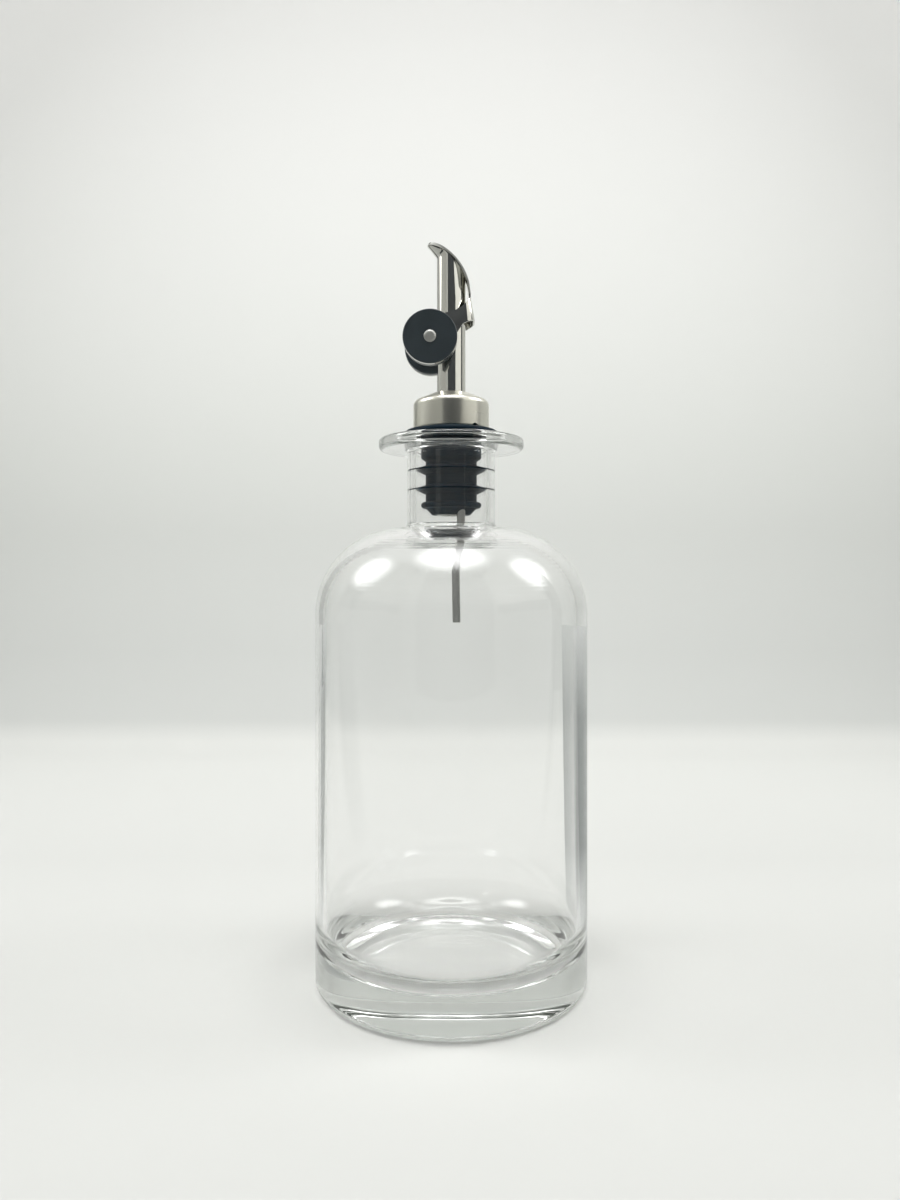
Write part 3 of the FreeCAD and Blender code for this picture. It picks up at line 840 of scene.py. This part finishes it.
class OILBOTTLE_OT_flap(bpy.types.Operator):
    """Stamp the flap: a curved leaf over the mouth and a folded saddle with an arm down each side"""

    bl_idname = "oil_bottle.flap"
    bl_label = "Flap"

    def execute(self, context):
        flap, pourer = settings().flap, settings().pourer
        centre = Vector((TUBE_R + pourer.mouth_standoff - pourer.mouth, 0, GLASS_TOP + pourer.mouth_rise))
        outer_r = pourer.mouth + flap.seat + flap.sheet
        root = centre + Vector((outer_r, 0, 0))
        piece = self.leaf(flap, centre, outer_r)
        combine(piece, self.saddle(flap, root), "UNION")
        holes = ((0, PIVOT_Z, PIVOT_R + flap.pivot_play), (WEIGHT_X, WEIGHT_Z, flap.rivet_hole))
        for x, z, radius in holes:
            combine(piece, rod("hole", (x, -2 * EAR_Y, z), (0, 4 * EAR_Y, 0), radius), "DIFFERENCE")
        soften(piece, flap.edge)
        settle(piece, "flap", "polished_steel", finish("polished_steel", pourer.steel), "flap")
        piece.data.materials.append(finish("rivet_steel", flap.rivet))
        for face in piece.data.polygons:
            if face.center.z > root.z + 2 * flap.top_rise and abs(face.normal.y) > CUT_FACING:
                face.material_index = 1
        return {"FINISHED"}

    def leaf(self, flap, centre, radius):
        """The tongue on the spout's mouth: an edge extruded along the arc and scaled to the leaf's width."""
        full = TUBE_R + flap.overhang
        tip_x = centre.x + radius * math.cos(flap.tip_angle)
        bite = settings().pourer.mouth / WAIST_HOLLOW

        def width(a):
            """Half the leaf's width at an angle of the arc: round at the tip and waisted at the root."""
            from_tip = centre.x + radius * math.cos(a) - tip_x
            rise = radius * math.sin(a)
            half = full if from_tip > full else math.sqrt(max(0, full ** 2 - (full - from_tip) ** 2))
            if rise < bite:
                half = min(half, flap.waist + bite - math.sqrt(bite ** 2 - rise ** 2))
            return max(half, flap.sheet / 2)

        def place(a):
            return centre + radius * Vector((math.cos(a), 0, math.sin(a)))

        angles = [flap.tip_angle * (1 - (k / LEAF_STEPS) ** LEAF_CROWDING) for k in range(LEAF_STEPS + 1)]
        first = place(angles[0])
        half = width(angles[0])
        piece = draw("flap_steel", [first + Vector((0, -half, 0)), first + Vector((0, half, 0))])
        for before, after in zip(angles, angles[1:]):
            extrude(place(after) - place(before))
            bpy.ops.transform.resize(value=(1, width(after) / width(before), 1))
        close_mesh()
        thicken(piece, flap.sheet, centre)
        return piece

    def saddle(self, flap, root):
        """The folded channel behind the spout, trimmed to its side view."""
        down = Vector((math.sin(flap.flare), 0, -math.cos(flap.flare)))
        across = Vector((math.cos(flap.flare), 0, math.sin(flap.flare)))
        span = 2 * (flap.height + flap.arm_end)
        front = -3 * flap.arm_end - 2 * TUBE_R
        section = rounded(
            (front, -EAR_Y, 0), (0, -EAR_Y, flap.corner), (0, EAR_Y, flap.corner), (front, EAR_Y, 0))
        channel = draw("saddle", [root - down * span + across * x + Vector((0, y, 0)) for x, y in section])
        extrude(down * 2 * span)
        close_mesh()
        thicken(channel, flap.sheet, root + across * front / 2)
        outline = self.side_view(flap, root, down)
        combine(channel, prism("saddle_outline", outline, -2 * EAR_Y, 2 * EAR_Y), "INTERSECT")
        return channel

    def side_view(self, flap, root, down):
        """Outline of the saddle and its arms, seen from the side."""
        foot_back = root + down * flap.height
        foot_front = foot_back - Vector((flap.corner + flap.sheet, 0, flap.foot_drop))
        top_back = root + Vector((0, 0, flap.top_rise))
        arm_edge = Vector((-flap.arm_forward, 0, PIVOT_Z + flap.arm_rise))
        chord = arm_edge - top_back
        hollow = Vector((-chord.z, 0, chord.x)).normalized() * flap.arm_sag
        upper = [top_back + chord * k / ARM_STEPS + hollow * 4 * k / ARM_STEPS * (1 - k / ARM_STEPS)
                 for k in range(ARM_STEPS + 1)]
        weight = Vector((WEIGHT_X, 0, WEIGHT_Z))
        first = self.tangent(weight, flap.arm_end, arm_edge, 1)
        last = self.tangent(weight, flap.arm_end, foot_front, -1) + math.tau
        turn = [first + (last - first) * k / ARM_END_STEPS for k in range(ARM_END_STEPS + 1)]
        end = [weight + flap.arm_end * Vector((math.cos(a), 0, math.sin(a))) for a in turn]
        out = Vector((flap.arm_end, 0, 0))
        return [(p.x, p.z) for p in upper + end + [foot_front, foot_back, foot_back + out, top_back + out]]

    def tangent(self, centre, radius, point, side):
        """Angle on a circle where a line from a point touches it."""
        run = point - centre
        return math.atan2(run.z, run.x) + side * math.acos(radius / run.length)


class OILBOTTLE_OT_weights(bpy.types.Operator):
    """Turn one counterweight and one rivet and copy them to the other side"""

    bl_idname = "oil_bottle.weights"
    bl_label = "Weights and rivets"

    def execute(self, context):
        flap, pourer = settings().flap, settings().pourer
        face, back = WEIGHT_LOW.y, WEIGHT_HIGH.y
        edge = flap.weight_edge
        weight = turned_across("weight_front_disc", rounded(
            (flap.rivet_hole, face, 0), (WEIGHT_R, face, edge), (WEIGHT_R, face + flap.weight_band, 0),
            (WEIGHT_R, back, edge), (flap.rivet_hole, back, 0), (flap.rivet_hole, face, 0)),
            WEIGHT_X, WEIGHT_Z, TURN_STEPS)
        smooth(weight)
        head_r = (RIVET_HIGH.x - RIVET_LOW.x) / 2
        tail = RIVET_HIGH.y
        rivet = turned_across("weight_front_rivet", rounded(
            (0, RIVET_LOW.y, 0), (head_r * RIVET_CROWN, RIVET_LOW.y, head_r * RIVET_DOME),
            (head_r + flap.rivet_spread, face, RIVET_EDGE),
            (flap.rivet_hole, face, 0), (flap.rivet_hole, tail - flap.rivet_tail, 0),
            (head_r, tail - flap.rivet_tail, RIVET_EDGE), (head_r, tail, RIVET_TAIL_EDGE), (0, tail, 0)),
            WEIGHT_X, WEIGHT_Z)
        smooth(rivet)
        black, bare = finish("weight_black", flap.black), finish("polished_steel", pourer.steel)
        for disc in self.pair(weight, "black_weight", black, "weight_{}"):
            self.bare_rim(disc, bare, flap.weight_band)
        self.pair(rivet, "rivet_steel", finish("rivet_steel", flap.rivet), "weight_rivet_{}")
        return {"FINISHED"}

    def pair(self, piece, slot, material, node):
        """Settles a piece, and a copy with its own mesh on the other side of the spout."""
        make_active(piece)
        bpy.ops.object.duplicate(linked=False)
        twin = bpy.context.object
        twin.name = piece.name.replace("front", "rear")
        edit_all()
        bpy.ops.transform.resize(value=(1, -1, 1), center_override=(0, 0, 0))
        close_mesh()
        settle(piece, "flap", slot, material, node.format("front"))
        settle(twin, "flap", slot, material, node.format("rear"))
        return piece, twin

    def bare_rim(self, piece, bare, band):
        """The outer band of the disc's turned edge is left bright."""
        piece.data.materials.append(bare)
        for face in piece.data.polygons:
            if abs(face.normal.y) < RIM_FACING and abs(face.center.y) > -WEIGHT_LOW.y - band:
                face.material_index = 1


class OILBOTTLE_OT_stage(bpy.types.Operator):
    """Set up the floor, the backdrop, the light panels and the camera"""

    bl_idname = "oil_bottle.stage"
    bl_label = "Stage"

    def execute(self, context):
        studio = settings().studio
        self.tent(studio)
        self.opening(studio)
        self.flag(studio, "stage_flag_right", 1, studio.flag_right, studio.flag_right_end)
        self.flag(studio, "stage_flag_left", -1, studio.flag_left, studio.flag_left_end)
        self.strips(studio)
        for name, place, target, size, setting in PANELS:
            self.panel(name, Vector(place), Vector(target), size, getattr(studio, setting))
        world = bpy.data.worlds.new("soft_light")
        world.use_nodes = True
        background = world.node_tree.nodes["Background"]
        background.inputs["Color"].default_value = (*studio.sky, 1)
        background.inputs["Strength"].default_value = studio.sky_strength
        context.scene.world = world
        context.scene.view_settings.view_transform = "Standard"
        cycles = context.scene.cycles
        cycles.max_bounces = cycles.transmission_bounces = cycles.glossy_bounces = BOUNCES
        cycles.blur_glossy = 0
        deselect()
        bpy.ops.object.camera_add(location=(studio.offset, -studio.distance, studio.height),
                                  rotation=(math.pi / 2, 0, 0))
        camera = context.object
        camera.data.lens = studio.lens
        camera.data.sensor_width = SENSOR_WIDTH
        camera.data.shift_y = studio.shift
        camera.data.clip_start = CLIP_START
        context.scene.camera = camera
        return {"FINISHED"}

    def tent(self, studio):
        """Floor and backdrop in one sheet: a plane with round corners, its rim extruded through a round."""
        deselect()
        bpy.ops.mesh.primitive_plane_add(size=2, location=(0, 0, -studio.floor_gap))
        tent = bpy.context.object
        tent.name = "stage_tent"
        bpy.ops.transform.resize(value=(studio.floor_width, studio.floor_depth, 1))
        freeze()
        edit_all()
        bpy.ops.mesh.bevel(offset=studio.floor_corner, segments=CORNER_STEPS, affect="VERTICES")
        bpy.ops.mesh.select_all(action="SELECT")
        bpy.ops.mesh.region_to_loop()
        quarter = math.pi / 2
        steps = round(quarter / ARC_STEP)
        out, up = 0, 0
        for step in range(1, steps + 1):
            turn = quarter * step / steps
            further, higher = studio.cove * math.sin(turn), studio.cove * (1 - math.cos(turn))
            bpy.ops.mesh.extrude_edges_move(TRANSFORM_OT_translate={"value": (0, 0, higher - up)})
            bpy.ops.transform.resize(value=((studio.floor_width + further) / (studio.floor_width + out),
                                            (studio.floor_depth + further) / (studio.floor_depth + out), 1),
                                     center_override=(0, 0, 0))
            out, up = further, higher
        bpy.ops.mesh.extrude_edges_move(TRANSFORM_OT_translate={"value": (0, 0, studio.wall_height - up)})
        close_mesh()
        smooth(tent)
        tent.data.materials.append(self.paper(studio))
        return tent

    def paper(self, studio):
        """Matt paper with painted light and shade: a light floor, a darker foot of the backdrop, lighter
        again towards the top, and darker before and beside the bottle.
        """
        paper, tree, shader = new_finish("stage_paper")
        shader.inputs["Roughness"].default_value = MATT
        # Painted light and shade: darker at the backdrop's foot, lighter towards its top
        painted_light_and_shade_by_height = self.by_place(tree, "Z", PAINTED_LIGHT_AND_SHADE_HEIGHTS, (
            studio.floor, studio.wall_foot, studio.wall_foot, studio.wall_middle, studio.wall_top))
        # Painted shade: the paper is darker before and beside the bottle
        painted_shade_by_depth = self.by_place(tree, "Y", PAINTED_SHADE_DEPTHS, (studio.near, studio.middle, WHITE))
        mix = add(tree, "ShaderNodeVectorMath", {0: painted_light_and_shade_by_height, 1: painted_shade_by_depth}, operation="MULTIPLY")
        tree.links.new(mix.outputs["Vector"], shader.inputs["Base Color"])
        return paper

    def by_place(self, tree, axis, places, shades):
        """A colour that changes along an axis, with a shade at each place."""
        low, high = places[0], places[-1]
        place = add(tree, "ShaderNodeTexCoord").outputs["Object"]
        along = add(tree, "ShaderNodeSeparateXYZ", {"Vector": place}).outputs[axis]
        level = add(tree, "ShaderNodeMapRange", {"Value": along, "From Min": low, "From Max": high})
        ramp = add(tree, "ShaderNodeValToRGB", {"Fac": level.outputs["Result"]})
        stops = ramp.color_ramp.elements
        while len(stops) < len(places):
            stops.new(1)
        for stop, at, shade in zip(stops, places, shades):
            stop.position = (at - low) / (high - low)
            stop.color = (*shade, 1)
        return ramp.outputs["Color"]

    def card(self, name, corners):
        """A card out of the picture, drawn round its corners."""
        card = draw(name, [*corners, corners[0]])
        bpy.ops.mesh.edge_face_add()
        close_mesh()
        card.visible_camera = card.visible_diffuse = card.visible_shadow = False
        material, tree, shader = new_finish(name)
        shader.inputs["Roughness"].default_value = MATT
        card.data.materials.append(material)
        return card, tree, shader

    def mirror_card(self, name, corners, shade):
        """A card of one colour, which only reflections show."""
        card, tree, shader = self.card(name, corners)
        card.visible_transmission = False
        tone(tree, grain(tree, "card"), shader.inputs["Base Color"], shade, CARD_SPREAD)
        return card

    def opening(self, studio):
        """The dark opening behind the camera."""
        left, right, y = studio.opening_left, studio.opening_right, -studio.opening_distance
        low, high = studio.opening_low, studio.opening_high
        corners = [(left, y, low), (right, y, low), (right, y, high), (left, y, high)]
        return self.mirror_card("stage_opening", corners, studio.card)

    def strips(self, studio):
        """Upright cards: thin dark strips, a white and a grey card, and a dark band under each of those."""
        low, high = studio.opening_low, studio.opening_high
        band_low, band_high = studio.band_low, studio.band_high
        right, left = studio.bounce_right, studio.bounce_left
        thin, wide = studio.strip_width, studio.bounce_width
        return [self.strip(studio, *row) for row in (
            ("stage_strip_right", studio.strip_right, thin, studio.card, low, high),
            ("stage_strip_left", studio.strip_left, thin, studio.card, low, high),
            ("stage_bounce_right", right, wide, studio.white, band_high, high),
            ("stage_bounce_left", left, wide, studio.grey, band_high, high),
            ("stage_band_right", right, wide, studio.card, band_low, band_high),
            ("stage_band_left", left, wide, studio.card, band_low, band_high),
        )]

    def strip(self, studio, name, turn, width, shade, low, high):
        """An upright card at a turn from straight behind the bottle."""
        def corner(at, z):
            return studio.strip_distance * math.sin(at), studio.strip_distance * math.cos(at), z

        end = turn + width
        corners = [corner(turn, low), corner(end, low), corner(end, high), corner(turn, high)]
        return self.mirror_card(name, corners, shade)

    def flag(self, studio, name, side, start, end):
        """A grey card beside the view, seen only in the glass, whose edges it draws."""
        def corner(turn, reach, z):
            return side * (BODY_R + reach * math.sin(turn)), reach * math.cos(turn), z

        near, far, top = studio.flag_near, studio.flag_far, studio.flag_height
        card, tree, shader = self.card(name, [corner(start, near, GUARD), corner(start, far, top),
                                              corner(end, far, top), corner(end, near, GUARD)])
        shades = (studio.flag_foot, studio.flag, studio.flag, studio.flag_top)
        colours = self.by_place(tree, "Z", [top * share for share in FLAG_STOPS], shades)
        tree.links.new(colours, shader.inputs["Base Color"])
        return card

    def panel(self, name, place, target, size, energy):
        """A soft light panel that faces a point."""
        deselect()
        turn = (target - place).to_track_quat("-Z", "Y").to_euler()
        bpy.ops.object.light_add(type="AREA", location=place, rotation=turn)
        light = bpy.context.object
        light.name = name
        light.data.shape = "RECTANGLE"
        light.data.size, light.data.size_y = size
        light.data.energy = energy
        light.visible_camera = False
        self.soften_edge(light.data)

    def soften_edge(self, lamp):
        """Lets a panel's glow fade towards its edge."""
        lamp.use_nodes = True
        tree = lamp.node_tree
        place = add(tree, "ShaderNodeNewGeometry").outputs["Parametric"]
        middle = add(tree, "ShaderNodeVectorMath", {0: place, 1: PANEL_MIDDLE}, operation="DISTANCE")
        fade = add(tree, "ShaderNodeMapRange", {"Value": middle.outputs["Value"], **PANEL_FADE},
                   interpolation_type="SMOOTHSTEP")
        tree.links.new(fade.outputs["Result"], tree.nodes["Emission"].inputs["Strength"])


class OILBOTTLE_PT_pieces(bpy.types.Panel):
    """Lists the pieces of the oil bottle"""

    bl_idname = "OILBOTTLE_PT_pieces"
    bl_label = "Oil bottle"
    bl_space_type = "VIEW_3D"
    bl_region_type = "UI"
    bl_category = "Oil bottle"

    def draw(self, context):
        for operator in OPERATORS:
            self.layout.operator(operator.bl_idname)
        for name in ("glass", "pourer", "flap", "studio"):
            values = getattr(context.scene.oil_bottle, name)
            box = self.layout.box()
            box.label(text=name.title())
            for setting in values.__annotations__:
                box.prop(values, setting)


OPERATORS = (
    OILBOTTLE_OT_bottle,
    OILBOTTLE_OT_stopper,
    OILBOTTLE_OT_collar,
    OILBOTTLE_OT_spout,
    OILBOTTLE_OT_air_tube,
    OILBOTTLE_OT_flap,
    OILBOTTLE_OT_weights,
    OILBOTTLE_OT_stage,
)
CLASSES = (GlassSettings, PourerSettings, FlapSettings, StudioSettings, OilBottleSettings, *OPERATORS,
           OILBOTTLE_PT_pieces)


def register():
    for cls in CLASSES:
        bpy.utils.register_class(cls)
    bpy.types.Scene.oil_bottle = group(OilBottleSettings)


def unregister():
    del bpy.types.Scene.oil_bottle
    for cls in reversed(CLASSES):
        bpy.utils.unregister_class(cls)


def main():
    register()
    for make in (bpy.ops.oil_bottle.bottle, bpy.ops.oil_bottle.stopper, bpy.ops.oil_bottle.collar,
                 bpy.ops.oil_bottle.spout, bpy.ops.oil_bottle.air_tube, bpy.ops.oil_bottle.flap,
                 bpy.ops.oil_bottle.weights, bpy.ops.oil_bottle.stage):
        make()


if __name__ == "__main__":
    main()
